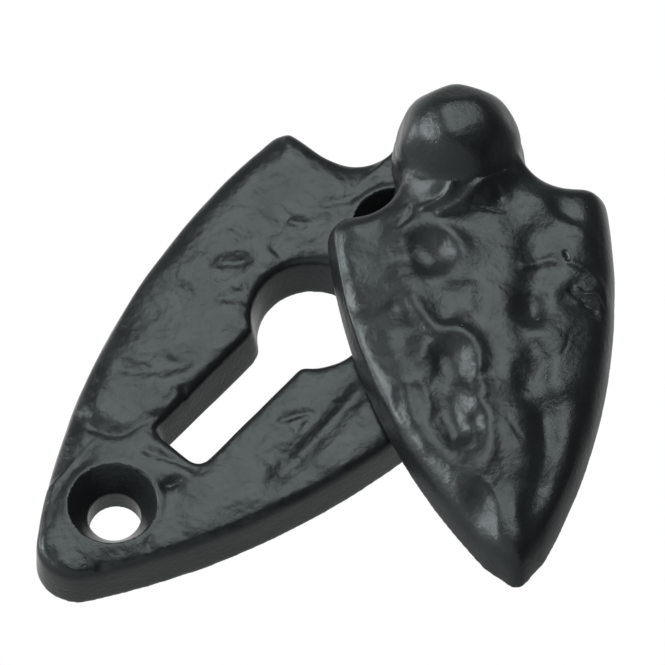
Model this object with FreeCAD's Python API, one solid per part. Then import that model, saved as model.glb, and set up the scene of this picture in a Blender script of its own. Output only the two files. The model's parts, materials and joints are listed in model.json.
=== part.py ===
"""Keyhole escutcheon with a swinging cover: a cast plate, a cast cover and the rivet it turns on.

The plate stands upright as it is fixed to a door or drawer front.
X runs to the right as the front is looked at, Y runs into the door and Z runs up.
The back face lies at Y = 0, and the origin is the centre of the lower screw hole there.
All sizes are in millimetres and all angles are in degrees.
"""
import FreeCAD, Part
import math
import os

# Plate: shield outline, measured at its front edge
PLATE_THICKNESS = 5.4
PLATE_HALF_WIDTH = 16.4
PLATE_WIDEST_BELOW_PIVOT = 14.7
PLATE_TIP_BELOW_SCREW = 8.8
PLATE_TIP_RADIUS = 3.8
PLATE_HEAD_RADIUS = 6.5
PLATE_SHOULDER_FLAT = 3.4
PLATE_SHOULDER_DROP = 7.4
PLATE_SHOULDER_RADIUS = 1.5
PLATE_DRAFT = 0.3
PLATE_EDGE_RADIUS = 0.8

# Fixing holes for countersunk wood screws, both on the centre line
SCREW_SPACING = 40.2
SCREW_BORE_RADIUS = 2.5
COUNTERSINK_RADIUS = 4.2
COUNTERSINK_DEPTH = 2.7

# Keyhole, measured halfway through the plate; the casting has it a little right of the screw holes
KEYHOLE_ACROSS = 0.3
KEYHOLE_ABOVE_SCREW = 27.6
KEYHOLE_RADIUS = 5.5
KEYHOLE_NECK_RADIUS = 1.1
SLOT_WIDTH = 5.5
SLOT_FOOT_ABOVE_SCREW = 8.6
SLOT_CORNER_RADIUS = 1.0
KEYHOLE_DRAFT = 0.3
KEYHOLE_BEVEL = 0.45

# Pivot: the rivet is fast in the cover and turns in the plate, in the round head over the upper screw
PIVOT_ABOVE_UPPER_SCREW = 9.1
PIVOT_ABOVE_SCREW = SCREW_SPACING + PIVOT_ABOVE_UPPER_SCREW
RIVET_RADIUS = 2.0
RIVET_DEPTH_IN_BOSS = 4.6
RIVET_TAIL_RADIUS = 3.2
RIVET_TAIL_THICKNESS = 0.9
RIVET_TAIL_BEVEL = 0.3
RUNNING_CLEARANCE = 0.06
SEAT_CLEARANCE = 0.02
TAIL_CLEARANCE = 0.3
COVER_GAP = 0.3

# Cover: a smaller shield with its own outline, measured where its sides end and its edge rounds over.
# Its thickness is that of its middle line, and its face falls from there by the crown at its widest.
COVER_HALF_WIDTH = 13.1
COVER_WIDEST_BELOW_PIVOT = 8.8
COVER_TIP_BELOW_PIVOT = 46.2
COVER_TIP_RADIUS = 1.9
COVER_HEAD_RADIUS = 6.0
COVER_SHOULDER_FLAT = 0.8
COVER_SHOULDER_DROP_LEFT = 6.5
COVER_SHOULDER_DROP_RIGHT = 5.6
COVER_SHOULDER_RADIUS = 1.7
COVER_THICKNESS = 4.5
COVER_CROWN = 0.9
COVER_DRAFT = 0.6
COVER_EDGE_INSET = 1.5
COVER_EDGE_RISE = 2.0
COVER_OPEN_ANGLE = 47.4

# Boss: the ball cast on the cover's head, and the low cone of the neck that rises to it,
# with all heights measured from the cover's back
BOSS_RADIUS = 6.1
BOSS_CENTRE_HEIGHT = 3.0
BOSS_ROOT_HEIGHT = 1.5
NECK_BELOW_PIVOT = 3.0
NECK_FOOT_HEIGHT = 3.0
NECK_FOOT_RADIUS = 8.6
NECK_TOP_HEIGHT = 7.0
NECK_TOP_RADIUS = 0.6

# Hollows hammered into the cover, each as: across, below the pivot, length, width, depth,
# and the angle by which its lower end swings to the right
COVER_HOLLOWS = [
    (-4.3, 12.4, 6.0, 5.4, 0.60, -25),
    (-3.5, 18.4, 6.5, 4.8, 0.50, -10),
    (-7.6, 21.4, 5.5, 3.6, 0.35, 0),
    (-3.3, 24.8, 6.5, 4.2, 0.50, 18),
    (-7.3, 28.8, 6.0, 3.0, 0.35, 4),
    (-3.9, 30.6, 7.5, 4.2, 0.45, 0),
    (5.4, 14.0, 6.5, 3.0, 0.45, -8),
    (4.9, 19.0, 5.5, 3.2, 0.50, 0),
    (9.4, 9.8, 4.6, 3.0, 0.40, 50),
    (9.2, 18.6, 5.4, 3.6, 0.50, 35),
    (4.0, 25.6, 5.5, 3.4, 0.45, -25),
    (4.5, 33.4, 9.5, 3.2, 0.55, -5),
    (-3.1, 40.4, 6.0, 3.8, 0.60, 12),
    (2.5, 40.8, 6.0, 2.8, 0.55, -14),
]

# Flats hammered on the boss: angle round it from the right, angle up from the cover's face, depth
BOSS_FLATS = [
    (10, 30, 0.25),
    (62, 26, 0.30),
    (112, 30, 0.25),
    (165, 24, 0.30),
    (215, 34, 0.25),
    (320, 36, 0.25),
    (85, 62, 0.30),
    (190, 66, 0.25),
    (300, 70, 0.25),
]

# Hollows in the plate's front, in the same order as the cover's
PLATE_HOLLOWS = [
    (-9.1, 22.2, 4.0, 1.6, 0.25, -45),
    (-10.5, 31.0, 9.0, 5.5, 0.25, 6),
    (-7.6, 36.4, 8.0, 3.2, 0.20, -35),
    (-7.0, 44.4, 5.0, 4.4, 0.20, -60),
    (9.6, 31.0, 14.0, 2.0, 0.25, 2),
    (2.8, 44.2, 2.2, 1.2, 0.25, 0),
]

# Bands that round a front edge
EDGE_BANDS = 4

# How far cutters reach past the surfaces that they cut
CUT_EXTRA = 1.0


def towards(centre, target, distance):
    """Point that lies at a distance from a centre, on the line to a target."""
    span = math.dist(centre, target)
    return tuple(c + (t - c) * distance / span for c, t in zip(centre, target))


def mirrored(point):
    return (-point[0], point[1])


def vector(point, y):
    return FreeCAD.Vector(point[0], y, point[1])


def line(start, end, y):
    return Part.LineSegment(vector(start, y), vector(end, y)).toShape()


def bend(start, middle, end, y):
    """Arc through three points."""
    return Part.Arc(vector(start, y), vector(middle, y), vector(end, y)).toShape()


def turn(centre, start, end, y):
    """Arc of less than half a turn about a centre."""
    halfway = tuple((s + e) / 2 for s, e in zip(start, end))
    return bend(start, towards(centre, halfway, math.dist(centre, start)), end, y)


class Shield:
    """Shield outline with its pivot at its own origin.

    From the round head a scallop on each side leads to a level shoulder, and from the
    shoulder's corner one long arc leads to the small arc at the tip.
    """

    def __init__(self, half_width, widest_below, tip_below, tip_radius,
                 head_radius, left_drop, right_drop, shoulder_flat, shoulder_radius):
        self.head_radius = head_radius
        self.shoulder_flat = shoulder_flat
        self.left_drop = left_drop
        self.right_drop = right_drop
        self.shoulder_radius = shoulder_radius
        self.tip_radius = tip_radius
        self.tip = (0.0, tip_radius - tip_below)
        self.foot = -tip_below
        rise = -widest_below - self.tip[1]
        self.side_radius = (half_width**2 + rise**2 - tip_radius**2) / (2 * (half_width - tip_radius))
        self.side_centre = (half_width - self.side_radius, -widest_below)

    def side(self, drop, grow, hand, y):
        """Edges of one side from head to tip; hand turns the right side into the left."""
        corner_z = -drop - self.shoulder_radius
        inner = self.side_radius - self.shoulder_radius
        corner_run = math.sqrt(inner**2 - (corner_z - self.side_centre[1])**2)
        corner = (self.side_centre[0] + corner_run, corner_z)
        bottom_x = corner[0] - self.shoulder_flat
        span = self.head_radius + drop
        scallop_radius = (bottom_x**2 + drop**2 - self.head_radius**2) / (2 * span)
        scallop = (bottom_x, scallop_radius - drop)
        points = [
            towards((0.0, 0.0), scallop, self.head_radius + grow),
            (scallop[0], grow - drop),
            (corner[0], grow - drop),
            towards(self.side_centre, corner, self.side_radius + grow),
            towards(self.side_centre, self.tip, self.side_radius + grow),
        ]
        centres = [scallop, corner, self.side_centre]
        neck, bottom, level, flank, end = [hand(point) for point in points]
        scallop, corner, side_centre = [hand(point) for point in centres]
        return neck, end, [
            turn(scallop, neck, bottom, y),
            line(bottom, level, y),
            turn(corner, level, flank, y),
            turn(side_centre, flank, end, y),
        ]

    def wire(self, y, grow):
        """Closed outline in the plane at Y, grown outwards."""
        right_neck, right_end, right = self.side(self.right_drop, grow, lambda point: point, y)
        left_neck, left_end, left = self.side(self.left_drop, grow, mirrored, y)
        head = bend(left_neck, (0.0, self.head_radius + grow), right_neck, y)
        foot = bend(right_end, (0.0, self.foot - grow), left_end, y)
        return Part.Wire([head] + right + [foot] + left[::-1])

    def blank(self, draft, thickness, edge_inset, edge_rise):
        """Blank with its back at Y = 0, drafted sides and a front edge rounded in narrow bands."""
        wires = [self.wire(0.0, draft)]
        for band in range(EDGE_BANDS + 1):
            angle = math.radians(90 * band / EDGE_BANDS)
            height = thickness - edge_rise * (1 - math.sin(angle))
            wires.append(self.wire(-height, -edge_inset * (1 - math.cos(angle))))
        return Part.makeLoft(wires, True, True)


def hollow(face_height, across, below, length, width, depth, swing_right):
    """Round-ended cutter that leaves a hollow of that size in a flat face."""
    radius = (width**2 / 4 + depth**2) / (2 * depth)
    reach = (length - width) / 2
    cutter = Part.makeSphere(radius, FreeCAD.Vector(0, 0, reach))
    if reach > 0:
        shank = Part.makeCylinder(radius, 2 * reach, FreeCAD.Vector(0, 0, -reach), FreeCAD.Vector(0, 0, 1))
        cutter = cutter.fuse([shank, Part.makeSphere(radius, FreeCAD.Vector(0, 0, -reach))])
    cutter.rotate(FreeCAD.Vector(), FreeCAD.Vector(0, -1, 0), swing_right)
    cutter.translate(FreeCAD.Vector(across, depth - face_height - radius, -below))
    return cutter


def front_face(shape):
    return min(shape.Faces, key=lambda face: face.CenterOfMass.y)


def plate_shield():
    return Shield(
        PLATE_HALF_WIDTH, PLATE_WIDEST_BELOW_PIVOT, PIVOT_ABOVE_SCREW + PLATE_TIP_BELOW_SCREW,
        PLATE_TIP_RADIUS, PLATE_HEAD_RADIUS, PLATE_SHOULDER_DROP, PLATE_SHOULDER_DROP,
        PLATE_SHOULDER_FLAT, PLATE_SHOULDER_RADIUS
    )


def keyhole_wire(y, grow):
    """Keyhole outline: a circle, rounded necks and a slot with rounded corners."""
    centre = (0.0, KEYHOLE_ABOVE_SCREW)
    radius = KEYHOLE_RADIUS + grow
    half_slot = SLOT_WIDTH / 2 + grow
    foot = SLOT_FOOT_ABOVE_SCREW - grow
    neck_across = SLOT_WIDTH / 2 + KEYHOLE_NECK_RADIUS
    neck_drop = math.sqrt((KEYHOLE_RADIUS + KEYHOLE_NECK_RADIUS)**2 - neck_across**2)
    neck = (neck_across, centre[1] - neck_drop)
    corner = (SLOT_WIDTH / 2 - SLOT_CORNER_RADIUS, SLOT_FOOT_ABOVE_SCREW + SLOT_CORNER_RADIUS)
    on_circle = towards(centre, neck, radius)
    edges = []
    for hand in (lambda point: point, mirrored):
        edges += [
            turn(hand(neck), hand(on_circle), hand((half_slot, neck[1])), y),
            line(hand((half_slot, neck[1])), hand((half_slot, corner[1])), y),
            turn(hand(corner), hand((half_slot, corner[1])), hand((corner[0], foot)), y),
        ]
    edges.append(bend(on_circle, (0.0, centre[1] + radius), mirrored(on_circle), y))
    edges.append(line((corner[0], foot), mirrored((corner[0], foot)), y))
    wire = Part.Wire(Part.__sortEdges__(edges))
    wire.translate(FreeCAD.Vector(KEYHOLE_ACROSS, 0, 0))
    return wire


def keyhole_cut():
    """Drafted keyhole for cutting: narrower at the back of the plate than at its front."""
    slope = KEYHOLE_DRAFT / (PLATE_THICKNESS / 2)
    reach = PLATE_THICKNESS / 2 + CUT_EXTRA
    back = keyhole_wire(CUT_EXTRA, -slope * reach)
    front = keyhole_wire(-PLATE_THICKNESS - CUT_EXTRA, slope * reach)
    return Part.makeLoft([back, front], True, True)


def screw_cut(height):
    """Bore and countersink for one screw."""
    outwards = FreeCAD.Vector(0, -1, 0)
    bore_length = PLATE_THICKNESS + 2 * CUT_EXTRA
    bore = Part.makeCylinder(SCREW_BORE_RADIUS, bore_length, FreeCAD.Vector(0, CUT_EXTRA, height), outwards)
    flare = (COUNTERSINK_RADIUS - SCREW_BORE_RADIUS) / COUNTERSINK_DEPTH
    mouth = COUNTERSINK_RADIUS + flare * CUT_EXTRA
    start = FreeCAD.Vector(0, COUNTERSINK_DEPTH - PLATE_THICKNESS, height)
    cone = Part.makeCone(SCREW_BORE_RADIUS, mouth, COUNTERSINK_DEPTH + CUT_EXTRA, start, outwards)
    return bore.fuse(cone)


def pivot_cut():
    """Rivet bore through the plate, and the recess for the rivet's tail in its back."""
    pivot = FreeCAD.Vector(0, CUT_EXTRA, PIVOT_ABOVE_SCREW)
    outwards = FreeCAD.Vector(0, -1, 0)
    length = PLATE_THICKNESS + 2 * CUT_EXTRA
    bore = Part.makeCylinder(RIVET_RADIUS + RUNNING_CLEARANCE, length, pivot, outwards)
    depth = RIVET_TAIL_THICKNESS + 2 * TAIL_CLEARANCE
    recess = Part.makeCylinder(RIVET_TAIL_RADIUS + TAIL_CLEARANCE, depth + CUT_EXTRA, pivot, outwards)
    return bore.fuse(recess)


def make_back_plate():
    plate = plate_shield().blank(PLATE_DRAFT, PLATE_THICKNESS, PLATE_EDGE_RADIUS, PLATE_EDGE_RADIUS)
    keyhole = keyhole_cut()
    keyhole.translate(FreeCAD.Vector(0, 0, -PIVOT_ABOVE_SCREW))
    plate = plate.cut(keyhole)
    plate = plate.makeChamfer(KEYHOLE_BEVEL, front_face(plate).Wires[1].Edges)
    hollows = [hollow(PLATE_THICKNESS, *size) for size in PLATE_HOLLOWS]
    plate = plate.cut(hollows)
    plate.translate(FreeCAD.Vector(0, 0, PIVOT_ABOVE_SCREW))
    return plate.cut([screw_cut(0.0), screw_cut(SCREW_SPACING), pivot_cut()])


def cover_shield():
    return Shield(
        COVER_HALF_WIDTH, COVER_WIDEST_BELOW_PIVOT, COVER_TIP_BELOW_PIVOT, COVER_TIP_RADIUS,
        COVER_HEAD_RADIUS, COVER_SHOULDER_DROP_LEFT, COVER_SHOULDER_DROP_RIGHT,
        COVER_SHOULDER_FLAT, COVER_SHOULDER_RADIUS
    )


def crown_lean():
    """Angle between the crown's cone and its axis, so that the face falls by the crown at its widest."""
    reach = COVER_TIP_BELOW_PIVOT - COVER_WIDEST_BELOW_PIVOT
    return math.atan(COVER_HALF_WIDTH**2 / (2 * COVER_CROWN * reach))


def crown():
    """Blunt cone whose upper line runs level along the cover's middle, so its face falls to both sides."""
    lean = crown_lean()
    slant = COVER_TIP_BELOW_PIVOT + 2 * COVER_HEAD_RADIUS
    point = FreeCAD.Vector(0, -COVER_THICKNESS, -COVER_TIP_BELOW_PIVOT)
    inwards = FreeCAD.Vector(0, math.sin(lean), math.cos(lean))
    return Part.makeCone(0, slant * math.sin(lean), slant * math.cos(lean), point, inwards)


def face_height(across, below):
    """Height of the crowned face above the cover's back."""
    reach = COVER_TIP_BELOW_PIVOT - below
    return COVER_THICKNESS - across**2 / (2 * reach * math.tan(crown_lean()))


def neck(shield):
    """Low cone that rises from the cover's face to the boss, kept within the cover's drafted sides."""
    outwards = FreeCAD.Vector(0, -1, 0)
    foot = FreeCAD.Vector(0, -NECK_FOOT_HEIGHT, -NECK_BELOW_PIVOT)
    rise = NECK_TOP_HEIGHT - NECK_FOOT_HEIGHT
    cone = Part.makeCone(NECK_FOOT_RADIUS, NECK_TOP_RADIUS, rise, foot, outwards)
    lean = COVER_DRAFT / (COVER_THICKNESS - COVER_EDGE_RISE)
    top = shield.wire(-NECK_TOP_HEIGHT, COVER_DRAFT - lean * NECK_TOP_HEIGHT)
    return cone.common(Part.makeLoft([shield.wire(0.0, COVER_DRAFT), top], True, True))


def boss():
    """Ball of the boss, cut off flat inside the cover's head."""
    root = math.degrees(math.asin((BOSS_ROOT_HEIGHT - BOSS_CENTRE_HEIGHT) / BOSS_RADIUS))
    outwards = FreeCAD.Vector(0, -1, 0)
    centre = BOSS_CENTRE_HEIGHT * outwards
    ball = Part.makeSphere(BOSS_RADIUS, centre, outwards, root, 90)
    flats = []
    for around, up, depth in BOSS_FLATS:
        level = FreeCAD.Vector(math.cos(math.radians(around)), 0, math.sin(math.radians(around)))
        rise = math.radians(up)
        facing = math.cos(rise) * level + math.sin(rise) * outwards
        start = centre + (BOSS_RADIUS - depth) * facing
        flats.append(Part.makeCylinder(BOSS_RADIUS, depth + CUT_EXTRA, start, facing))
    return ball.cut(flats)


def swing(shape):
    """Carry a piece of the cover from its own origin to the open place on the plate."""
    shape.translate(FreeCAD.Vector(0, -PLATE_THICKNESS - COVER_GAP, PIVOT_ABOVE_SCREW))
    pivot = FreeCAD.Vector(0, 0, PIVOT_ABOVE_SCREW)
    shape.rotate(pivot, FreeCAD.Vector(0, -1, 0), COVER_OPEN_ANGLE)
    return shape


def make_cover():
    shield = cover_shield()
    blank = shield.blank(COVER_DRAFT, COVER_THICKNESS, COVER_EDGE_INSET, COVER_EDGE_RISE)
    hollows = [hollow(face_height(*size[:2]), *size) for size in COVER_HOLLOWS]
    cover = blank.common(crown()).fuse(neck(shield)).cut(hollows).fuse(boss())
    outwards = FreeCAD.Vector(0, -1, 0)
    seat_depth = RIVET_DEPTH_IN_BOSS + SEAT_CLEARANCE
    seat = Part.makeCylinder(RIVET_RADIUS + SEAT_CLEARANCE, seat_depth, FreeCAD.Vector(), outwards)
    return swing(cover.cut(seat))


def make_pivot_rivet():
    """Rivet with its tail spread out in the recess behind the plate."""
    tail_back = PLATE_THICKNESS + COVER_GAP - TAIL_CLEARANCE
    outwards = FreeCAD.Vector(0, -1, 0)
    start = FreeCAD.Vector(0, tail_back, 0)
    tail = Part.makeCylinder(RIVET_TAIL_RADIUS, RIVET_TAIL_THICKNESS, start, outwards)
    back_rim = max(tail.Edges, key=lambda edge: edge.CenterOfMass.y)
    tail = tail.makeChamfer(RIVET_TAIL_BEVEL, [back_rim])
    shank = Part.makeCylinder(RIVET_RADIUS, tail_back + RIVET_DEPTH_IN_BOSS, start, outwards)
    return swing(shank.fuse(tail))


def main():
    os.makedirs("parts", exist_ok=True)
    pieces = {
        "back_plate": make_back_plate(),
        "cover": make_cover(),
        "pivot_rivet": make_pivot_rivet(),
    }
    for name, shape in pieces.items():
        shape.exportStep(f"parts/{name}.step")
        print(name, "valid", shape.isValid(), "solids", len(shape.Solids), "volume", round(shape.Volume, 1))


main()
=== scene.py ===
# %% [markdown]
# # Keyhole escutcheon with a swinging cover
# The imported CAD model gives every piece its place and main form. Blender adds what a casting
# has between those forms: edges left soft by the sand mould, hammered hollows, creases and
# pits, and a coat of satin black paint. Blender works in metres, and MM turns millimetres into
# metres. The part's front looks towards -Y, so a smaller Y is nearer to the eye.

# %% Start and load the frame
import json
import math

import bmesh
import bpy
import numpy as np
from mathutils import Matrix, Vector, kdtree, noise


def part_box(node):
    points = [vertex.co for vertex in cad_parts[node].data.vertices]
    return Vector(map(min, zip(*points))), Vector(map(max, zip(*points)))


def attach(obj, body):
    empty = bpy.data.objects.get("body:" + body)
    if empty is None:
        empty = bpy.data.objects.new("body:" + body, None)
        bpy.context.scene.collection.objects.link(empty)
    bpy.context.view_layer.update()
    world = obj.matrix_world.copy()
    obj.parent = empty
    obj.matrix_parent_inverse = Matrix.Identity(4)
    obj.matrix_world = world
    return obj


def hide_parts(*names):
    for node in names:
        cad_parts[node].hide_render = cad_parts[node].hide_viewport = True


MM = 0.001

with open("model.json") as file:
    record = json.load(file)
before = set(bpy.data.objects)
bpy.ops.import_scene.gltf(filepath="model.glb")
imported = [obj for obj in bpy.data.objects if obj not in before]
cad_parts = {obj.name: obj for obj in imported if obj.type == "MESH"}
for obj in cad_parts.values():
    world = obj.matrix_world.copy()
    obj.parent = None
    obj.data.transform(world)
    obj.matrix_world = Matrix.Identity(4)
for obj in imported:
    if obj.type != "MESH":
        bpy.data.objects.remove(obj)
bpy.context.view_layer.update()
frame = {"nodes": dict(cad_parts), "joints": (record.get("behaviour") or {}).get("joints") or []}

# %% [markdown]
# ## Where things are
# The cover is drawn in its own frame, as it hangs straight down from its pivot: across is to
# the right and below is down from the pivot. It rests swung to the right, so a point on it is
# turned back by that angle to find where it lies on the cover.

# %% Places taken from the frame
PIVOT = Vector(frame["joints"][0]["pos_m"])
OPEN_ANGLE = math.radians(47.4)
PLATE_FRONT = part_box("back_plate")[0].y
COVER_FACE = PIVOT.y - 4.5 * MM
BOSS_CENTRE = Vector((0.0, PIVOT.y - 3.0 * MM, PIVOT.z))
COUNTERSINK_RIM = 4.2 * MM
SCREW_HEIGHTS = (0.0, 40.2 * MM)


def on_cover(points):
    """Across and below, in millimetres, of points on the swung cover."""
    right = points[:, 0] - PIVOT.x
    up = points[:, 2] - PIVOT.z
    across = right * math.cos(OPEN_ANGLE) + up * math.sin(OPEN_ANGLE)
    below = right * math.sin(OPEN_ANGLE) - up * math.cos(OPEN_ANGLE)
    return np.stack([across, below], axis=1) / MM


def on_plate(points):
    """Across and height above the lower screw, in millimetres, of points on the plate."""
    return points[:, [0, 2]] / MM


print("pivot", PIVOT[:], "plate front", PLATE_FRONT, "cover face", COVER_FACE)

# %% [markdown]
# ## An even skin over each casting
# The CAD mesh has long thin triangles, which relief would tear. Subdividing would keep their
# poor shapes. A voxel grid gives an even mesh instead, and pulling it back onto the CAD surface
# keeps the CAD's outline and size.

# %% Skin functions
WELD = 0.001 * MM


def new_object(name, data):
    obj = bpy.data.objects.new(name, data)
    bpy.context.scene.collection.objects.link(obj)
    return obj


def applied(obj):
    """The same object with its modifiers made part of its mesh."""
    graph = bpy.context.evaluated_depsgraph_get()
    mesh = bpy.data.meshes.new_from_object(obj.evaluated_get(graph))
    obj.modifiers.clear()
    obj.data = mesh
    return obj


def skin(node, name, voxel):
    """Even mesh over a CAD node."""
    source = frame["nodes"][node]
    mesh = source.data.copy()
    welded = bmesh.new()
    welded.from_mesh(mesh)
    bmesh.ops.remove_doubles(welded, verts=welded.verts, dist=WELD)
    welded.to_mesh(mesh)
    welded.free()
    mesh.materials.clear()
    obj = new_object(name, mesh)
    grid = obj.modifiers.new("grid", "REMESH")
    grid.mode = "VOXEL"
    grid.voxel_size = voxel
    fit = obj.modifiers.new("fit", "SHRINKWRAP")
    fit.target = source
    fit.wrap_method = "NEAREST_SURFACEPOINT"
    return applied(obj)


def coordinates(mesh):
    values = np.empty(len(mesh.vertices) * 3)
    mesh.vertices.foreach_get("co", values)
    return values.reshape(-1, 3)


def normals(mesh):
    values = np.empty(len(mesh.vertices) * 3)
    mesh.vertex_normals.foreach_get("vector", values)
    return values.reshape(-1, 3)


def set_coordinates(mesh, points):
    mesh.vertices.foreach_set("co", points.ravel())
    mesh.update()


# %% [markdown]
# ## Where a change applies
# Every change below has a weight for each point, from 0 to 1, so that it fades out and leaves
# no step. `ramp` makes such weights from places, `inset` from the way to the nearest side wall,
# and `soften` rounds edges by blurring the mesh, since a bevel would need clean edge lines.

# %% Weight functions
BLUR_STEP = 0.5
LEAST_WEIGHT = 0.01
WALL_TILT = 0.35


def ramp(values, low, high):
    """Smooth step from 0 at low to 1 at high."""
    t = np.clip((values - low) / (high - low), 0.0, 1.0)
    return t * t * (3.0 - 2.0 * t)


def fade(distance, width):
    """1 at the side wall, falling to 0 at a width from it, both in millimetres."""
    return np.clip(1 - distance / width, 0, 1) ** 2


def inset(points, facing):
    """Distance of every point from the nearest side wall, in millimetres, and how that wall faces."""
    walls = np.flatnonzero(np.abs(facing[:, 1]) < WALL_TILT)
    tree = kdtree.KDTree(len(walls))
    for index in walls:
        tree.insert((points[index, 0], 0.0, points[index, 2]), int(index))
    tree.balance()
    found = [tree.find((x, 0.0, z)) for x, z in points[:, [0, 2]]]
    nearest = np.array([index for _, index, _ in found])
    distance = np.array([gap for _, _, gap in found]) / MM
    return distance, facing[nearest]


def soften(obj, weights, spread, voxel):
    """Blur a mesh by a spread in millimetres where the weights say, as a sand mould would."""
    group = obj.vertex_groups.new(name="soft")
    for index in np.flatnonzero(weights > LEAST_WEIGHT):
        group.add([int(index)], float(weights[index]), "REPLACE")
    smooth = obj.modifiers.new("soft", "SMOOTH")
    smooth.factor = BLUR_STEP
    smooth.iterations = round(4 * (spread * MM / voxel) ** 2)
    smooth.vertex_group = group.name
    applied(obj)
    obj.vertex_groups.clear()


# %% [markdown]
# ## Relief as strokes
# A stroke is a line of points with a height and a width on either side, all in millimetres.
# Raised strokes are the ridges left between hammer blows, often with one gentle flank and one
# steep one. Sunk strokes are creases, hollows and pits. The first width is for the right-hand
# side of someone who walks the line on the cover, and the second for the left. On the plate
# the second number counts upwards and not down, so there the two sides change places.

# %% Stroke functions
CURVE_STEPS = 4
STROKE_REACH = 2.6
TINY = 1e-6


def smooth_line(line):
    """Points on a smooth curve through the points of a line."""
    knots = np.array(line, float)
    if len(knots) < 3:
        return np.repeat(knots, 2, axis=0) if len(knots) == 1 else knots
    padded = np.vstack([2 * knots[0] - knots[1], knots, 2 * knots[-1] - knots[-2]])
    curve = []
    for a, b, c, d in zip(padded, padded[1:], padded[2:], padded[3:]):
        for t in np.arange(CURVE_STEPS) / CURVE_STEPS:
            bend = (2 * a - 5 * b + 4 * c - d) * t**2 + (3 * b - a - 3 * c + d) * t**3
            curve.append(b + 0.5 * ((c - a) * t + bend))
    return np.vstack([curve, knots[-1]])


def stroke(places, right_width, left_width, height, line):
    """Height that one stroke adds at every place."""
    curve = smooth_line(line)
    reach = STROKE_REACH * max(right_width, left_width)
    low, high = curve.min(axis=0) - reach, curve.max(axis=0) + reach
    near = np.flatnonzero(np.all((places > low) & (places < high), axis=1))
    here = places[near]
    nearest = np.full(len(here), np.inf)
    side = np.zeros(len(here))
    for start, end in zip(curve[:-1], curve[1:]):
        along = end - start
        length = max(np.linalg.norm(along), TINY)
        t = np.clip((here - start) @ along / length**2, 0.0, 1.0)
        gap = here - start - t[:, None] * along
        distance = np.maximum(np.linalg.norm(gap, axis=1), TINY)
        turned = (along[0] * gap[:, 1] - along[1] * gap[:, 0]) / (length * distance)
        side = np.where(distance < nearest, turned, side)
        nearest = np.minimum(distance, nearest)
    width = left_width + (right_width - left_width) * ramp(side, -1.0, 1.0)
    added = np.zeros(len(places))
    added[near] = height * np.exp(-(nearest / width) ** 2)
    return added


def relief(places, strokes):
    return sum(stroke(places, *one) for one in strokes)


def pits(places, spots):
    return sum(stroke(places, size, size, -depth, [spot]) for size, depth, spot in spots)


# %% [markdown]
# ## Relief as noise
# What no one drew on purpose, such as the waves and grain that sand leaves, comes from noise.
# The size given is about the size of one lump, and the seed picks which noise.

# %% Noise functions
SIDE_WAVE = (0.05, 4 * MM)
SIDE_SPARED = 0.02


def lumps(points, size, seed):
    """Soft noise between -1 and 1 with lumps of about one size."""
    shift = Vector((seed * 17.3, seed * 5.1, seed * 9.7))
    return np.array([noise.noise(Vector(point) / size + shift) for point in points])


def waves(points, layers):
    """Noise of several layers, each with a height in millimetres, a size and a seed."""
    return sum(height * lumps(points, size, seed) for height, size, seed in layers)


def sink_sides(points, facing, side, seed):
    """Sink the side walls a little in places, as the sand leaves them."""
    wobble = waves(points, [(*SIDE_WAVE, seed)]) - SIDE_SPARED
    points += (side * np.minimum(wobble, 0.0) * MM)[:, None] * facing


# %% [markdown]
# ## The plate's marks
# The plate's front is nearly flat. Its creases are shallow and wide, a quarter of a millimetre
# at most, and its pits are where gas left the iron. Points are across and above the lower screw.

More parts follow.
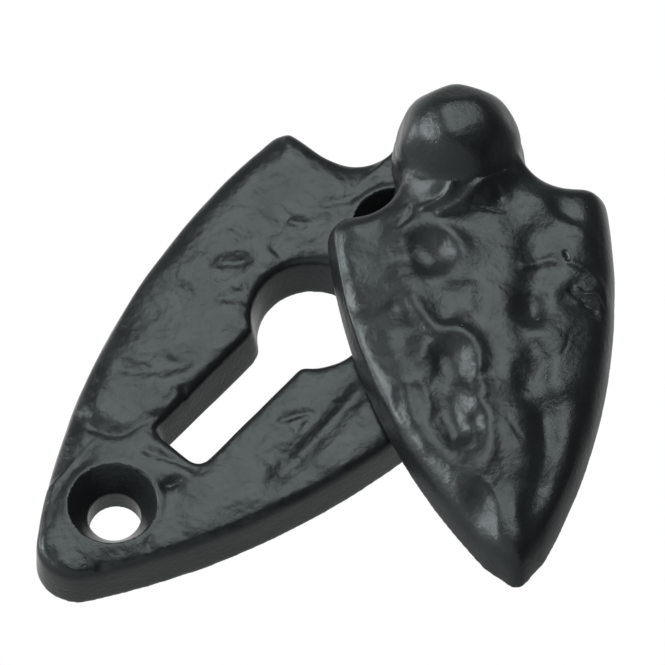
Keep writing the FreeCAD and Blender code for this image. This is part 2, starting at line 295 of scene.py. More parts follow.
# %% Strokes on the plate: across, above the lower screw
PLATE_STROKES = [
    # left of the keyhole's circle
    (0.5, 0.7, -0.14, [(-8.4, 27.8), (-9.2, 26.8), (-9.9, 26.0)]),
    (0.4, 0.4, -0.16, [(-7.2, 34.6), (-7.9, 33.9)]),
    (0.6, 0.8, -0.10, [(-5.8, 36.2), (-7.0, 33.0), (-7.4, 31.4)]),
    (0.4, 0.4, -0.08, [(-5.2, 34.4), (-6.2, 31.6)]),
    (0.35, 0.35, -0.14, [(-6.4, 30.4), (-7.2, 30.6)]),
    (0.30, 0.30, -0.12, [(-6.9, 25.9), (-6.2, 25.2), (-6.9, 24.5)]),
    (0.5, 0.7, -0.11, [(-4.6, 24.6), (-6.0, 24.3), (-7.2, 23.2)]),
    (0.8, 0.8, -0.09, [(-8.2, 27.4), (-8.9, 23.6)]),
    (0.7, 0.7, -0.10, [(-12.2, 36.6), (-12.7, 35.2)]),
    # left of the slot
    (0.6, 1.1, -0.11, [(-4.8, 16.8), (-5.4, 14.8), (-7.0, 12.8), (-9.0, 11.4)]),
    (0.35, 0.35, -0.07, [(-6.4, 14.9), (-7.6, 14.4), (-8.6, 13.4)]),
    (0.30, 0.30, -0.22, [(-2.7, 12.9), (-3.4, 13.4)]),
    # between the slot and the lower screw
    (0.30, 0.6, -0.13, [(-3.2, 10.0), (-3.8, 8.0), (-4.6, 5.6), (-7.0, 4.6)]),
    (0.9, 0.9, -0.10, [(-4.4, 6.2), (-8.0, 5.0)]),
    (0.6, 0.6, -0.10, [(-5.8, 3.4), (-5.2, 0.6), (-4.6, -1.4)]),
    (0.5, 0.6, -0.08, [(-5.8, 2.0), (-4.8, -2.8), (-3.0, -5.6)]),
    # right of the slot
    (1.0, 0.8, -0.10, [(9.1, 24.4), (9.7, 20.0), (9.8, 15.0)]),
    (0.8, 0.6, -0.09, [(8.4, 14.2), (9.4, 13.4), (9.9, 10.4)]),
    (0.4, 0.3, -0.14, [(6.0, 17.0), (6.9, 18.6), (7.7, 19.3), (8.0, 17.6)]),
    (0.5, 0.4, -0.14, [(2.4, 4.6), (2.9, 5.6)]),
    (0.35, 0.35, -0.12, [(-1.6, 6.2), (0.8, 7.0), (3.4, 7.7)]),
    # the lower tip
    (0.4, 0.4, -0.10, [(4.6, 0.0), (5.8, -1.4)]),
    (0.4, 0.4, -0.22, [(3.7, -5.6), (4.0, -6.1)]),
    # the upper part and the left side
    (0.5, 0.5, -0.10, [(-6.8, 37.6), (-4.8, 40.6), (-4.6, 43.0)]),
    (0.4, 0.4, -0.09, [(-9.9, 29.9), (-11.9, 29.7)]),
    (1.3, 1.3, -0.09, [(-13.4, 20.0), (-12.2, 13.0), (-9.8, 6.0), (-7.4, 0.5)]),
]
PLATE_PITS = [
    (0.15, 0.12, (-10.5, 28.7)), (0.12, 0.10, (-9.5, 28.0)), (0.14, 0.10, (-9.6, 24.4)),
    (0.12, 0.08, (-8.9, 24.4)), (0.12, 0.08, (-11.3, 23.2)), (0.12, 0.08, (-10.4, 22.9)),
    (0.12, 0.08, (-6.7, 34.3)), (0.12, 0.10, (-8.0, 12.9)), (0.12, 0.08, (-7.3, 12.9)),
    (0.14, 0.10, (5.6, -5.0)), (0.12, 0.08, (7.2, -1.8)), (0.14, 0.10, (7.4, 16.6)),
]
print("plate strokes", len(PLATE_STROKES), "pits", len(PLATE_PITS))

# %% [markdown]
# ## The plate's skin
# The rims of the screw holes were cut after casting and stay crisp. So `rim` is 0 on them and 1
# away from them, and every later weight on the plate is multiplied by it.

# %% Plate skin
PLATE_VOXEL = 0.215 * MM
RIM_START, RIM_END = COUNTERSINK_RIM + 0.2 * MM, COUNTERSINK_RIM + 1.0 * MM

plate = skin("back_plate", "plate_casting", PLATE_VOXEL)
points = coordinates(plate.data)
rim = np.ones(len(points))
for height in SCREW_HEIGHTS:
    gap = np.hypot(points[:, 0], points[:, 2] - height)
    rim *= ramp(gap, RIM_START, RIM_END)
print("plate skin", len(points), "points, kept crisp", np.count_nonzero(rim < 1))

# %% [markdown]
# ## The plate's worn edges
# All edges are rounded a little. The front edge on the left is rounded most, the back edge
# some, and the face loses the CAD's shallow steps. Each blur is named with its spread in
# millimetres. `front` is 1 where the surface looks to the front and 0 on the walls.

# %% Round the plate's edges
EDGE_BLUR = 0.37
LEFT_EDGE_BLUR = 1.1
BACK_EDGE_BLUR = 0.55
FACE_BLUR = 0.8

soften(plate, rim, EDGE_BLUR, PLATE_VOXEL)
points = coordinates(plate.data)
outer_left = rim * ramp(-points[:, 0], 5 * MM, 8 * MM)
forward = ramp(PLATE_FRONT + 4.6 * MM - points[:, 1], 0.0, 2.6 * MM)
soften(plate, outer_left * forward, LEFT_EDGE_BLUR, PLATE_VOXEL)
points = coordinates(plate.data)
soften(plate, rim * ramp(points[:, 1], -1.6 * MM, -0.8 * MM), BACK_EDGE_BLUR, PLATE_VOXEL)
points = coordinates(plate.data)
facing = normals(plate.data)
distance, wall = inset(points, facing)
front = rim * ramp(-facing[:, 1], 0.35, 0.9) * (points[:, 1] < PLATE_FRONT + 1.2 * MM)
soften(plate, front * ramp(distance, 0.3, 1.2), FACE_BLUR, PLATE_VOXEL)
points = coordinates(plate.data)
print("plate face", np.count_nonzero(front > 0.5), "points, deepest inset", distance.max(), "mm")

# %% [markdown]
# ## The plate's face
# The face falls away towards the left edge, and a little towards the others. Waves and drawn
# creases lie on top of that. Points only ever move back, so the plate keeps the CAD's box. The
# weight goes by depth and reaches over the edge, because one that stopped short of the edge
# would leave a raised lip there. A light blur then melts the strokes into each other.

# %% Draw the plate's face
LEFT_FALL, LEFT_FALL_WIDTH = 0.45, 4.5
EDGE_FALL, EDGE_FALL_WIDTH = 0.12, 2.5
FACE_SINK = 0.05
PLATE_WAVES = [(0.16, 5 * MM, 1), (0.06, 1.6 * MM, 2)]
MELT_BLUR = 0.25

left = ramp(-wall[:, 0], 0.2, 0.8) * (points[:, 0] < -6 * MM)
ease = (LEFT_FALL * left * fade(distance, LEFT_FALL_WIDTH)
        + EDGE_FALL * fade(distance, EDGE_FALL_WIDTH))
drawn = relief(on_plate(points), PLATE_STROKES)
top = rim * ramp(PLATE_FRONT + 2.4 * MM - points[:, 1], 0.0, 1.6 * MM)
sunk = top * np.clip(ease - drawn + waves(points, PLATE_WAVES) + FACE_SINK, 0, None)
points[:, 1] += sunk * MM
set_coordinates(plate.data, points)
soften(plate, top, MELT_BLUR, PLATE_VOXEL)
print("plate face sunk by up to", sunk.max(), "mm")

# %% [markdown]
# ## The plate's grain
# Pits and a fine grain come last, so that no blur takes them away. The grain of moulding sand
# is about 0.2 mm, which is too fine to show here, so it is drawn as coarse as 0.6 mm.

# %% Pits, grain and walls of the plate
GRAIN_SIZE = 0.6 * MM
PLATE_GRAIN = 0.03
PLATE_GRAIN_SINK = 0.015

points = coordinates(plate.data)
facing = normals(plate.data)
grain = pits(on_plate(points), PLATE_PITS) - PLATE_GRAIN * lumps(points, GRAIN_SIZE, 9)
points[:, 1] -= front * np.minimum(grain - PLATE_GRAIN_SINK, 0.0) * MM
side = rim * (1 - front) * ramp(np.abs(facing[:, 1]), 0.9, 0.5)
sink_sides(points, facing, side, 6)
set_coordinates(plate.data, points)
print("plate", len(plate.data.loop_triangles), "triangles")

# %% [markdown]
# ## The cover's marks
# The cover was hammered all over, so its hollows meet in wandering ridges. The soft strokes are
# drawn first and blurred. The scars are drawn after the blur and stay crisp: folds at the neck,
# the tear near the right edge and the line of light on the long ridge.

# %% Soft strokes on the cover: across, below the pivot
COVER_STROKES = [
    # the bowl at the upper left, and knobs beside and below it
    (1.80, 0.75, 0.24, [(-6.4, 9.3), (-5.0, 8.9), (-3.4, 9.3), (-2.0, 10.5), (-1.3, 12.0)]),
    (1.69, 1.40, 0.12, [(-1.3, 12.0), (-1.3, 13.8), (-2.0, 15.2)]),
    (1.92, 1.73, -0.16, [(-5.2, 11.6), (-4.4, 13.6)]),
    (0.65, 0.69, 0.10, [(-6.3, 11.6), (-6.2, 13.6)]),
    (0.88, 0.69, 0.14, [(-7.5, 13.6), (-7.4, 14.9)]),
    (0.77, 0.69, 0.09, [(-9.0, 15.2)]),
    (0.77, 0.81, 0.07, [(-9.4, 16.2), (-7.4, 15.9), (-6.0, 14.9)]),
    (0.77, 0.81, 0.12, [(-8.4, 17.9)]),
    (1.00, 3.57, 0.19, [(-6.0, 16.4), (-5.8, 18.2)]),
    # the long ridge that wanders down the middle
    (1.46, 0.80, 0.25, [(-6.6, 17.2), (-5.4, 19.2), (-4.3, 20.5), (-2.8, 20.9),
                        (-1.6, 22.0), (-0.9, 23.4), (-1.1, 25.2)]),
    (1.46, 0.75, 0.20, [(-1.1, 25.2), (-1.4, 26.4), (-1.0, 27.8), (-1.3, 29.0),
                        (-0.7, 30.3), (-0.9, 32.0), (-1.0, 34.2), (-1.8, 35.6)]),
    (0.65, 0.69, -0.12, [(-0.9, 16.4), (-1.0, 18.4), (-0.8, 20.6)]),
    # the trough left of it, with its small ridges and creases
    (1.11, 1.38, -0.13, [(-3.4, 23.4), (-2.8, 25.4)]),
    (1.57, 1.50, -0.14, [(-5.2, 24.2), (-5.0, 28.0), (-4.4, 31.2)]),
    (1.23, 0.64, 0.17, [(-6.4, 21.4), (-6.0, 22.4), (-6.4, 23.6)]),
    (1.23, 0.52, 0.13, [(-5.6, 22.6), (-5.4, 24.6), (-6.2, 25.6), (-7.6, 25.7)]),
    (1.23, 0.42, 0.17, [(-8.0, 26.2), (-7.6, 28.0), (-7.8, 29.9)]),
    (1.11, 0.46, 0.16, [(-6.5, 26.4), (-6.1, 28.2), (-6.4, 30.0)]),
    (0.42, 0.69, -0.13, [(-8.8, 26.6), (-8.9, 28.4), (-8.5, 29.9)]),
    (0.77, 0.81, -0.13, [(-8.6, 30.8), (-8.4, 32.0)]),
    (0.60, 0.64, -0.13, [(-2.1, 31.0), (-1.9, 31.9)]),
    (0.60, 0.46, 0.12, [(-2.9, 30.4), (-2.6, 31.6), (-2.8, 32.8), (-3.2, 34.2)]),
    (0.42, 0.46, -0.12, [(-4.3, 32.2), (-4.4, 33.8), (-3.8, 34.7), (-3.1, 34.0)]),
    (1.92, 1.15, -0.12, [(-7.0, 34.8), (-5.6, 32.6)]),
    # the row of hollows right of the ridge, and the swells beside them
    (1.57, 1.84, -0.24, [(6.5, 11.6), (6.3, 14.8), (5.5, 17.2), (5.6, 19.4)]),
    (1.11, 1.04, -0.19, [(4.4, 18.8), (4.9, 19.7)]),
    (0.65, 0.81, -0.14, [(3.2, 20.0), (4.6, 20.6)]),
    (1.11, 1.15, -0.19, [(3.4, 21.8), (4.4, 24.0), (4.9, 25.6), (4.2, 27.2), (3.0, 28.0),
                         (2.6, 28.6)]),
    (0.60, 0.69, 0.10, [(2.2, 24.6), (3.6, 24.6), (4.6, 24.9)]),
    (1.23, 1.61, -0.26, [(3.6, 29.4), (4.4, 31.0), (4.4, 33.4), (4.0, 35.2), (3.2, 37.2)]),
    (1.92, 1.96, -0.10, [(6.8, 30.4), (7.4, 32.0)]),
    (1.69, 1.50, 0.10, [(6.4, 25.0), (6.2, 28.0)]),
    (1.46, 1.73, 0.12, [(7.2, 20.8), (6.9, 22.8)]),
    (0.88, 0.69, 0.12, [(5.4, 20.0), (6.6, 18.6), (7.6, 17.0), (8.8, 16.4)]),
    (0.65, 0.69, -0.07, [(0.4, 22.0), (0.9, 26.2)]),
    # the three hollows above the tip
    (2.38, 1.50, -0.24, [(-0.8, 38.2), (1.0, 38.0), (2.6, 38.2)]),
    (0.88, 0.56, 0.17, [(-1.6, 37.8), (-1.1, 39.4), (-1.1, 41.2), (-1.7, 43.2)]),
    (1.00, 1.04, -0.16, [(-3.0, 38.4), (-3.4, 40.4), (-3.2, 42.4)]),
    (1.00, 0.92, -0.16, [(2.6, 38.6), (1.8, 41.0), (1.6, 43.2)]),
    (0.77, 0.69, 0.13, [(0.8, 39.0), (0.6, 41.2), (0.9, 43.4)]),
    # the right shoulder
    (1.46, 0.64, 0.17, [(7.4, 7.6), (7.7, 8.8), (8.7, 10.2), (10.6, 11.0)]),
    (0.88, 1.50, -0.14, [(8.7, 8.6), (9.8, 9.6)]),
    (0.42, 0.52, -0.06, [(7.8, 10.4), (8.8, 11.2), (10.2, 11.6)]),
    # the neck
    (0.88, 0.46, 0.14, [(-4.2, 7.4), (-2.4, 7.0), (-1.5, 6.2), (-1.2, 5.0)]),
    (0.65, 0.69, -0.09, [(-0.8, 6.4), (0.6, 5.2)]),
    (0.77, 0.81, 0.12, [(-7.0, 7.8), (-5.8, 7.2)]),
    (0.42, 0.46, 0.09, [(1.2, 7.5), (2.0, 7.6)]),
    (0.42, 0.46, 0.07, [(2.2, 7.2), (3.4, 5.8), (4.6, 4.8)]),
    (0.77, 0.69, 0.09, [(-5.6, 5.4), (-3.8, 5.8), (-2.4, 5.0)]),
    (0.45, 0.80, 0.16, [(3.8, 4.4), (2.0, 5.6), (0.5, 6.8), (-0.6, 7.7), (-2.6, 8.3)]),
    # broad hollows on the left, a crease and a swell on the right
    (3.4, 3.2, -0.34, [(-9.4, 10.4), (-9.6, 15.2)]),
    (1.5, 1.5, -0.26, [(-4.6, 23.8), (-4.6, 28.0), (-4.0, 31.5)]),
    (1.2, 1.2, -0.16, [(-10.6, 20.4), (-9.6, 23.4)]),
    (0.5, 0.5, 0.18, [(4.6, 14.6), (7.4, 14.2)]),
    (1.2, 1.2, 0.14, [(6.2, 33.0), (7.6, 31.0)]),
]
print("cover strokes", len(COVER_STROKES))

# %% Crisp scars and pits on the cover
COVER_SCARS = [
    # folds at the neck
    (0.40, 0.30, 0.16, [(-4.2, 7.4), (-2.4, 7.0), (-1.5, 6.2), (-1.2, 5.0)]),
    (0.50, 0.35, 0.15, [(3.8, 4.4), (2.0, 5.6), (0.5, 6.8), (-0.6, 7.7), (-2.6, 8.3)]),
    # crest of the long ridge
    (1.00, 0.60, 0.05, [(-4.3, 20.5), (-2.8, 20.9), (-1.6, 22.0), (-0.9, 23.4), (-1.1, 25.2),
                        (-1.4, 26.4), (-1.0, 27.8), (-1.3, 29.0), (-0.7, 30.3), (-0.9, 32.0),
                        (-1.0, 34.2)]),
    # crease and tear near the right edge
    (0.30, 0.5, 0.12, [(9.0, 14.8), (10.6, 15.8), (11.8, 17.6), (12.0, 19.0)]),
    (0.16, 0.16, -0.24, [(8.6, 13.5), (8.8, 14.4)]),
    (0.20, 0.20, -0.26, [(8.6, 17.6), (9.1, 18.3), (9.7, 18.5)]),
    (0.30, 0.25, 0.20, [(9.3, 17.6), (9.8, 18.1), (10.9, 18.3), (11.4, 19.4)]),
    (0.45, 0.45, -0.26, [(9.8, 19.2), (10.6, 19.8)]),
    (0.22, 0.22, -0.16, [(10.3, 20.2), (10.9, 20.5)]),
    # small scratches
    (0.12, 0.12, -0.06, [(7.7, 22.8), (7.4, 23.8), (6.9, 24.5)]),
    (0.30, 0.30, -0.05, [(1.0, 31.0), (1.4, 32.0), (1.9, 33.2)]),
    (0.25, 0.25, -0.10, [(-6.6, 9.0), (-5.6, 8.1), (-5.2, 7.0)]),
    (0.16, 0.22, 0.10, [(0.6, 8.1), (1.8, 8.4), (3.2, 8.8)]),
    (0.5, 0.45, -0.22, [(3.0, 6.4), (3.1, 7.0)]),
]
COVER_PITS = [
    (0.14, 0.10, (8.6, 14.0)), (0.16, 0.12, (5.2, 20.6)), (0.10, 0.06, (1.9, 16.0)),
    (0.10, 0.06, (2.1, 17.0)), (0.12, 0.06, (1.3, 29.1)), (0.12, 0.06, (1.6, 29.7)),
    (0.10, 0.05, (1.1, 29.7)), (0.10, 0.05, (-1.1, 29.0)), (0.12, 0.06, (12.6, 18.4)),
    (0.10, 0.06, (6.6, 29.0)), (0.10, 0.05, (5.2, 29.2)), (0.14, 0.08, (10.2, 18.6)),
]
print("cover scars", len(COVER_SCARS), "pits", len(COVER_PITS))

# %% [markdown]
# ## The cover's skin
# The whole cover gets a first light blur. Then four weights say where a point is: `ball` is 1
# on the front of the ball, `clear` away from the ball, `upper` on the front part of the
# cover's depth, and `worn` on the right side and towards the tip, where the edge is roundest.

# %% Cover skin
COVER_VOXEL = 0.177 * MM
CAST_BLUR = 0.34
BALL_REACH = 6.4

cover = skin("cover", "cover_casting", COVER_VOXEL)
points = coordinates(cover.data)
soften(cover, np.ones(len(points)), CAST_BLUR, COVER_VOXEL)
points = coordinates(cover.data)
places = on_cover(points)
out_of_boss = points - np.array(BOSS_CENTRE)
from_boss = np.linalg.norm(out_of_boss, axis=1) / MM
ball = ramp(-out_of_boss[:, 1] / MM, 1.2, 2.4) * (from_boss < BALL_REACH)
clear = ramp(from_boss, 6.6, 9.0)
upper = ramp(COVER_FACE + 3.2 * MM - points[:, 1], 0.0, 1.8 * MM)
worn = np.maximum(ramp(places[:, 0], 3.0, 8.0), ramp(places[:, 1], 30.0, 38.0))
print("cover skin", len(points), "points, on the ball", np.count_nonzero(ball > 0.5))

# %% [markdown]
# ## The cover's worn edges
# The front edge is rounded all round, and most on the worn side. The back edge is rounded less.
# The face and the ball lose the CAD's facets. As on the plate, `front` is 1 where the surface
# looks to the front.

# %% Round the cover's edges
FRONT_EDGE_BLUR = 0.57
WORN_EDGE_BLUR = 1.3
COVER_BACK_BLUR = 0.44
COVER_FACE_BLUR = 0.95

soften(cover, upper * clear, FRONT_EDGE_BLUR, COVER_VOXEL)
deep = ramp(COVER_FACE + 4.2 * MM - points[:, 1], 0.0, 2.0 * MM)
soften(cover, worn * deep * clear, WORN_EDGE_BLUR, COVER_VOXEL)
points = coordinates(cover.data)
behind = ramp(points[:, 1], PIVOT.y - 1.4 * MM, PIVOT.y - 0.7 * MM)
soften(cover, behind, COVER_BACK_BLUR, COVER_VOXEL)
facing = normals(cover.data)
front = ramp(-facing[:, 1], 0.3, 0.8) * upper
soften(cover, np.maximum(front * (0.25 + 0.75 * clear), ball), COVER_FACE_BLUR, COVER_VOXEL)
print("cover face", np.count_nonzero(front > 0.5), "points")

# %% [markdown]
# ## The cover's tip
# The photograph's tip is a little slimmer than the CAD's, so its last few millimetres are drawn
# in towards the middle line, across the cover.

# %% Narrow the cover's tip
TIP_LENGTH = 2.4
TIP_END = 0.2
TIP_SQUEEZE = -0.35

points = coordinates(cover.data)
places = on_cover(points)
tip = places[np.argmax(places[:, 1])]
taper = TIP_SQUEEZE * ramp(places[:, 1], tip[1] - TIP_LENGTH, tip[1] - TIP_END)
squeeze = taper * (places[:, 0] - tip[0]) * MM
points[:, 0] += squeeze * math.cos(OPEN_ANGLE)
points[:, 2] += squeeze * math.sin(OPEN_ANGLE)
print("cover tip", tip, "mm from the pivot, drawn in by up to", np.abs(squeeze).max() / MM, "mm")

# %% [markdown]
# ## The cover's face
# The face falls away towards its edges, furthest on the left. The strokes and some noise make
# the hammer marks. The ball gets faint dents, and its front is blunted by a soft plane that
# leans a little to the right, as if it had been tapped flat.

# %% Draw the cover's hammer marks
COVER_FALL, COVER_LEFT_FALL = 0.30, 0.24
COVER_FALL_WIDTH, COVER_LEFT_WIDTH = 3.4, 1.6
COVER_WAVES = [(0.14, 3.0 * MM, 3), (0.045, 1.3 * MM, 4)]
BALL_WAVES = [(0.03, 2.6 * MM, 5)]
BALL_SPARED = 0.015
BLUNT_DEPTH = 0.32
BLUNT_SOFTNESS = 0.12
BLUNT_LEAN = 0.06

facing = normals(cover.data)
distance, wall = inset(points, facing)
left = ramp(-wall[:, 0], 0.2, 0.9)
width = COVER_FALL_WIDTH + COVER_LEFT_WIDTH * left
fall = (COVER_FALL + COVER_LEFT_FALL * left) * fade(distance, width)
marked = front * (1 - ball)
raised = marked * (relief(places, COVER_STROKES) + waves(points, COVER_WAVES))
points[:, 1] += (upper * (1 - ball) * fall - raised) * MM
dent = waves(points, BALL_WAVES) - BALL_SPARED
points += (ball * np.minimum(dent, 0.0) * MM)[:, None] * facing
ahead = (BOSS_CENTRE.y - points[:, 1]) / MM + BLUNT_LEAN * places[:, 0]
past = (ahead - (ahead.max() - BLUNT_DEPTH)) / BLUNT_SOFTNESS
blunt = BLUNT_SOFTNESS * np.log1p(np.exp(past))
points[:, 1] += ball * blunt * MM
set_coordinates(cover.data, points)
print("hammer marks from", raised.min(), "to", raised.max(), "mm, ball blunted by", blunt.max(), "mm")

# %% [markdown]
# ## The cover's last blur, scars and grain
# A blur melts the strokes into each other, and a stronger one takes them off the worn edge.
# Then come the crisp scars, the pits and the grain, which is drawn coarser than real sand so
# that it shows, as on the plate.

# %% Melt the marks, then add scars, pits and grain
COVER_MELT_BLUR = 0.34
WORN_MELT_BLUR = 0.76
COVER_GRAIN = 0.012

soften(cover, np.maximum(marked, upper * clear), COVER_MELT_BLUR, COVER_VOXEL)
soften(cover, worn * deep * clear * ramp(-distance, -3.4, -1.4), WORN_MELT_BLUR, COVER_VOXEL)
points = coordinates(cover.data)
facing = normals(cover.data)
crisp = relief(places, COVER_SCARS) + pits(places, COVER_PITS)
points[:, 1] -= marked * (crisp + COVER_GRAIN * lumps(points, GRAIN_SIZE, 8)) * MM
side = (1 - front) * (1 - ball) * ramp(np.abs(facing[:, 1]), 0.9, 0.5)
sink_sides(points, facing, side, 11)
set_coordinates(cover.data, points)
print("cover", len(cover.data.loop_triangles), "triangles")

# %% [markdown]
# ## Materials
# Colours are written as sRGB hex and made linear by one function. Sizes in patterns are real
# lengths, so a noise scale is one over the size of its lumps. One function adds any node.

# %% Material functions
MIX_FACTOR, MIX_FIRST, MIX_SECOND, MIX_COLOUR = 0, 6, 7, 2


def linear(text):
    """Linear RGBA of an sRGB hex colour."""
    channels = [int(text[i:i + 2], 16) / 255 for i in (1, 3, 5)]
    curve = [c / 12.92 if c <= 0.04045 else ((c + 0.055) / 1.055) ** 2.4 for c in channels]
    return (*curve, 1.0)


def add(tree, kind, inputs=None, **settings):
    """Add a node with its properties, and fill or link its sockets, given by name or number."""
    node = tree.nodes.new(kind)
    for name, value in settings.items():
        setattr(node, name, value)
    for name, value in (inputs or {}).items():
        if isinstance(value, bpy.types.NodeSocket):
            tree.links.new(value, node.inputs[name])
        else:
            node.inputs[name].default_value = value
    return node


def new_material(name):
    material = bpy.data.materials.new(name)
    material.use_nodes = True
    material.node_tree.nodes.clear()
    return material, material.node_tree


# %% [markdown]
# ## Satin black paint on cast iron
# The castings are sprayed with a black enamel, so they aren't metallic to the eye: a clear
# binder with an IOR of 1.5 lies over black pigment. It gives a soft but bright mirror image,
# tinted a little cold. Enamel paint has a roughness of about 0.3. The sprayed coat dries with
# orange peel, lumps a quarter of a millimetre wide and a few thousandths deep. That is too fine
# to show in the render, so it is drawn as coarse as 0.5 mm and as deep as 0.04 mm. Pinholes lie
# 3.4 mm apart, and the sheen and the black change over about 3 mm.

# %% Satin black paint on cast iron
ORANGE_PEEL = 0.5 * MM
PINHOLE_SPACING = 3.4 * MM
SHEEN_PATCH = 3.0 * MM
COAT_DEPTH = 0.04 * MM


def satin_black_paint():
    material, tree = new_material("satin_black_paint_on_cast_iron")
    where = add(tree, "ShaderNodeTexCoord").outputs["Object"]
    orange_peel = add(tree, "ShaderNodeTexNoise",
                      {"Vector": where, "Scale": 1 / ORANGE_PEEL, "Detail": 5.0})
    pinholes = add(tree, "ShaderNodeTexVoronoi",
                   {"Vector": where, "Scale": 1 / PINHOLE_SPACING, "Randomness": 1.0})
    pinhole = add(tree, "ShaderNodeMapRange",
                  {"Value": pinholes.outputs["Distance"],
                   "From Min": 0.02, "From Max": 0.05, "To Min": -1.0, "To Max": 0.0})
    height = add(tree, "ShaderNodeMath",
                 {0: orange_peel.outputs["Fac"], 1: pinhole.outputs["Result"]}, operation="ADD")
    bump = add(tree, "ShaderNodeBump",
               {"Height": height.outputs["Value"], "Distance": COAT_DEPTH, "Strength": 1.0})
    patches = add(tree, "ShaderNodeTexNoise",
                  {"Vector": where, "Scale": 1 / SHEEN_PATCH, "Detail": 4.0})
    colour = add(tree, "ShaderNodeMix",
                 {MIX_FACTOR: patches.outputs["Fac"],
                  MIX_FIRST: linear("#1b1e1f"), MIX_SECOND: linear("#262a2b")},
                 data_type="RGBA")
    rough = add(tree, "ShaderNodeMapRange",
                {"Value": patches.outputs["Fac"],
                 "From Min": 0.3, "From Max": 0.7, "To Min": 0.28, "To Max": 0.36})
    paint = add(tree, "ShaderNodeBsdfPrincipled",
                {"Base Color": colour.outputs[MIX_COLOUR], "Roughness": rough.outputs["Result"],
                 "Normal": bump.outputs["Normal"], "IOR": 1.5,
                 "Specular Tint": linear("#f2ffff")})
    add(tree, "ShaderNodeOutputMaterial", {"Surface": paint.outputs["BSDF"]})
    return material


# %% [markdown]
# ## Blackened steel
# The rivet is turned from mild steel and blackened by heat and oil. It is a metal, dark and
# rather rough, so it shows only a dull, wide gleam.

# %% Blackened steel of the rivet
def blackened_steel():
    material, tree = new_material("blackened_steel_rivet")
    steel = add(tree, "ShaderNodeBsdfPrincipled",
                {"Base Color": linear("#3a3a3a"), "Metallic": 1.0, "Roughness": 0.45})
    add(tree, "ShaderNodeOutputMaterial", {"Surface": steel.outputs["BSDF"]})
    return material


# %% [markdown]
# ## Pale floor board
# The floor is a matt painted board. In a photo studio it would be lit until it looks nearly
# white. Here a share of plain white does that: most of what the camera sees of it, a third of
# what the paint mirrors of it, and nothing of the light that it sheds.

# %% Pale floor board
FLOOR_SEEN_WHITE = 0.85
FLOOR_MIRRORED_WHITE = 0.34


def pale_floor():
    material, tree = new_material("pale_floor_board")
    board = add(tree, "ShaderNodeBsdfPrincipled",
                {"Base Color": linear("#f2f2f2"), "Roughness": 0.8})
    rays = add(tree, "ShaderNodeLightPath").outputs
    mirrored = add(tree, "ShaderNodeMath",
                   {0: rays["Is Glossy Ray"], 1: rays["Is Transmission Ray"]},
                   operation="MAXIMUM")
    dimmed = add(tree, "ShaderNodeMath",
                 {0: mirrored.outputs["Value"], 1: FLOOR_MIRRORED_WHITE}, operation="MULTIPLY")
    share = add(tree, "ShaderNodeMath",
                {0: rays["Is Camera Ray"], 1: FLOOR_SEEN_WHITE, 2: dimmed.outputs["Value"]},
                operation="MULTIPLY_ADD")
    white = add(tree, "ShaderNodeEmission", {"Color": linear("#ffffff"), "Strength": 1.0})
    surface = add(tree, "ShaderNodeMixShader",
                  {0: share.outputs["Value"], 1: board.outputs["BSDF"],
                   2: white.outputs["Emission"]})
    add(tree, "ShaderNodeOutputMaterial", {"Surface": surface.outputs["Shader"]})
    return material


# %% [markdown]
# ## Dress the pieces
# Each casting replaces its CAD node and rides on that node's body, so the cover swings with its
# joint. Faces that meet at more than 32 degrees keep a sharp line. The rivet's turned form is
# already right, so it only gets its material.

# %% Dress the pieces and tie them to the frame
SHARP_ANGLE = math.radians(32)

paint = satin_black_paint()
for obj, node, body in ((plate, "back_plate", "plate"), (cover, "cover", "cover")):
    obj.data.materials.append(paint)
    obj.data.shade_smooth()
    obj.data.set_sharp_from_angle(angle=SHARP_ANGLE)
    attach(obj, body)
    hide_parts(node)
rivet = frame["nodes"]["pivot_rivet"]
rivet.data.materials.clear()
rivet.data.materials.append(blackened_steel())
print("materials", sorted(material.name for material in bpy.data.materials))

# %% [markdown]
# ## Camera
# The camera stands where the photograph's stood: low and to the right of the part, and turned
# by nearly half a right angle about its own axis. It is far off with a long lens, so the part
# shows little perspective.

# %% Camera from the photograph's viewing angle
AZIMUTH = math.radians(21.53)
ELEVATION = math.radians(-21.75)
ROLL = math.radians(45.37)
DISTANCE = 481.0 * MM
TARGET = Vector((1.15, 0.0, 29.54)) * MM
LENS = 270.7
CLIP_START = 0.01

back = Vector((
    math.sin(AZIMUTH) * math.cos(ELEVATION),
    -math.cos(AZIMUTH) * math.cos(ELEVATION),
    math.sin(ELEVATION),
))
level = (-back).cross(Vector((0.0, 0.0, 1.0))).normalized()
upright = level.cross(-back)
right = math.cos(ROLL) * level + math.sin(ROLL) * upright
up = -math.sin(ROLL) * level + math.cos(ROLL) * upright

camera = new_object("camera", bpy.data.cameras.new("camera"))
camera.data.lens = LENS
camera.data.clip_start = CLIP_START
turn = Matrix((right, up, back)).transposed().to_4x4()
camera.matrix_world = Matrix.Translation(TARGET + DISTANCE * back) @ turn
bpy.context.scene.camera = camera
print("camera at", camera.matrix_world.translation[:])

# %% [markdown]
# ## Light
# Glossy black shows hardly any colour of its own, so what it mirrors makes the picture. One
# large soft box above the camera is what the flat faces mirror. Two panels on the left, one
# high and one low, give the left flanks and edges their light.

# %% Soft boxes
def soft_box(name, place, width, height, power):
    """Area lamp at a place given as right, up and back in the camera's view, aimed at the part."""
    lamp = bpy.data.lights.new(name, "AREA")
    lamp.shape = "RECTANGLE"
    lamp.size = width
    lamp.size_y = height
    lamp.energy = power
    obj = new_object(name, lamp)
    obj.location = TARGET + place[0] * right + place[1] * up + place[2] * back
    obj.rotation_euler = (obj.location - TARGET).to_track_quat("Z", "Y").to_euler()
    print(name, "at", obj.location[:], "with", power, "W")


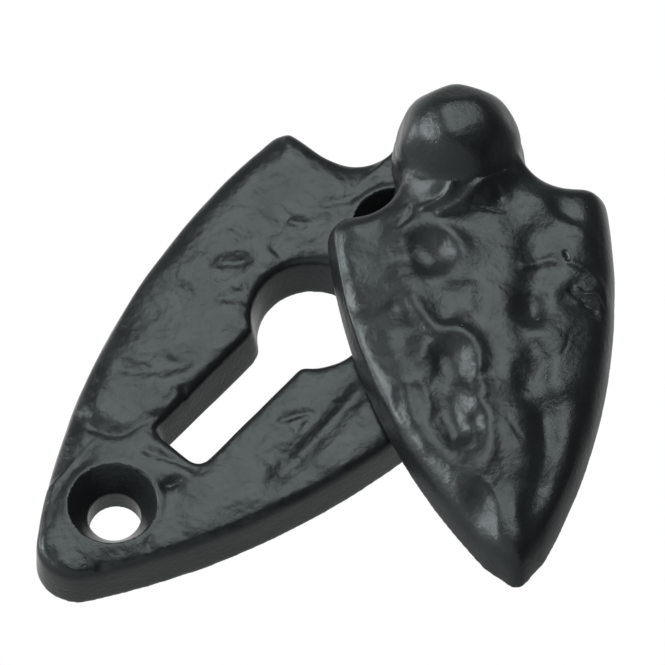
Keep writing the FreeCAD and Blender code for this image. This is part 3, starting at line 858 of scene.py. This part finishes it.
soft_box("key_box", (-0.02, 0.62, 0.37), 0.42, 0.36, 1.65)
soft_box("left_high_panel", (-0.53, 0.31, 0.28), 0.20, 0.36, 2.3)
soft_box("left_low_panel", (-0.62, 0.14, -0.04), 0.22, 0.44, 1.6)

# %% [markdown]
# ## Floor
# A square board lies well below the part. It is scenery and rides on no body.

# %% Floor
FLOOR_HEIGHT = -0.30
FLOOR_HALF = 2.0

corners = [(-FLOOR_HALF, -FLOOR_HALF), (FLOOR_HALF, -FLOOR_HALF),
           (FLOOR_HALF, FLOOR_HALF), (-FLOOR_HALF, FLOOR_HALF)]
board = bpy.data.meshes.new("floor")
board.from_pydata([(x, y, FLOOR_HEIGHT) for x, y in corners], [], [(0, 1, 2, 3)])
board.materials.append(pale_floor())
new_object("floor", board)
print("floor", 2 * FLOOR_HALF, "m wide at", FLOOR_HEIGHT, "m")

# %% [markdown]
# ## World
# The camera sees plain white, as in the photograph. What the paint mirrors is a room that is
# white behind the part and dark in front of it, and brighter on the part's left than on its
# right. So the side walls turn pale, and hollows that look into the room stay dark. Other rays
# get a dim, even fill.

# %% World: white behind the part, dim in front of it
ROOM_DARK, ROOM_RIGHT, ROOM_FILL = 0.07, 0.45, 0.22


def studio_world():
    world = bpy.data.worlds.new("studio")
    world.use_nodes = True
    tree = world.node_tree
    tree.nodes.clear()
    rays = add(tree, "ShaderNodeLightPath").outputs
    direction = add(tree, "ShaderNodeTexCoord").outputs["Generated"]
    towards = add(tree, "ShaderNodeSeparateXYZ", {"Vector": direction}).outputs
    behind = add(tree, "ShaderNodeMapRange",
                 {"Value": towards["Y"],
                  "From Min": -0.35, "From Max": 0.65, "To Min": ROOM_DARK, "To Max": 1.0})
    leftward = add(tree, "ShaderNodeMapRange",
                   {"Value": towards["X"],
                    "From Min": -0.5, "From Max": 0.5, "To Min": 1.0, "To Max": ROOM_RIGHT})
    whiteness = add(tree, "ShaderNodeMath",
                    {0: behind.outputs["Result"], 1: leftward.outputs["Result"]},
                    operation="MULTIPLY")
    mirrored = add(tree, "ShaderNodeMath",
                   {0: rays["Is Glossy Ray"], 1: rays["Is Transmission Ray"]},
                   operation="MAXIMUM")
    colour = linear("#ffffff")
    fill = add(tree, "ShaderNodeBackground", {"Color": colour, "Strength": ROOM_FILL})
    room = add(tree, "ShaderNodeBackground",
               {"Color": colour, "Strength": whiteness.outputs["Value"]})
    white = add(tree, "ShaderNodeBackground", {"Color": colour, "Strength": 1.0})
    lit = add(tree, "ShaderNodeMixShader",
              {0: mirrored.outputs["Value"], 1: fill.outputs["Background"],
               2: room.outputs["Background"]})
    seen = add(tree, "ShaderNodeMixShader",
               {0: rays["Is Camera Ray"], 1: lit.outputs["Shader"],
                2: white.outputs["Background"]})
    add(tree, "ShaderNodeOutputWorld", {"Surface": seen.outputs["Shader"]})
    return world


bpy.context.scene.world = studio_world()
bpy.context.scene.view_settings.view_transform = "Standard"
print("world", bpy.context.scene.world.name, "view", bpy.context.scene.view_settings.view_transform)
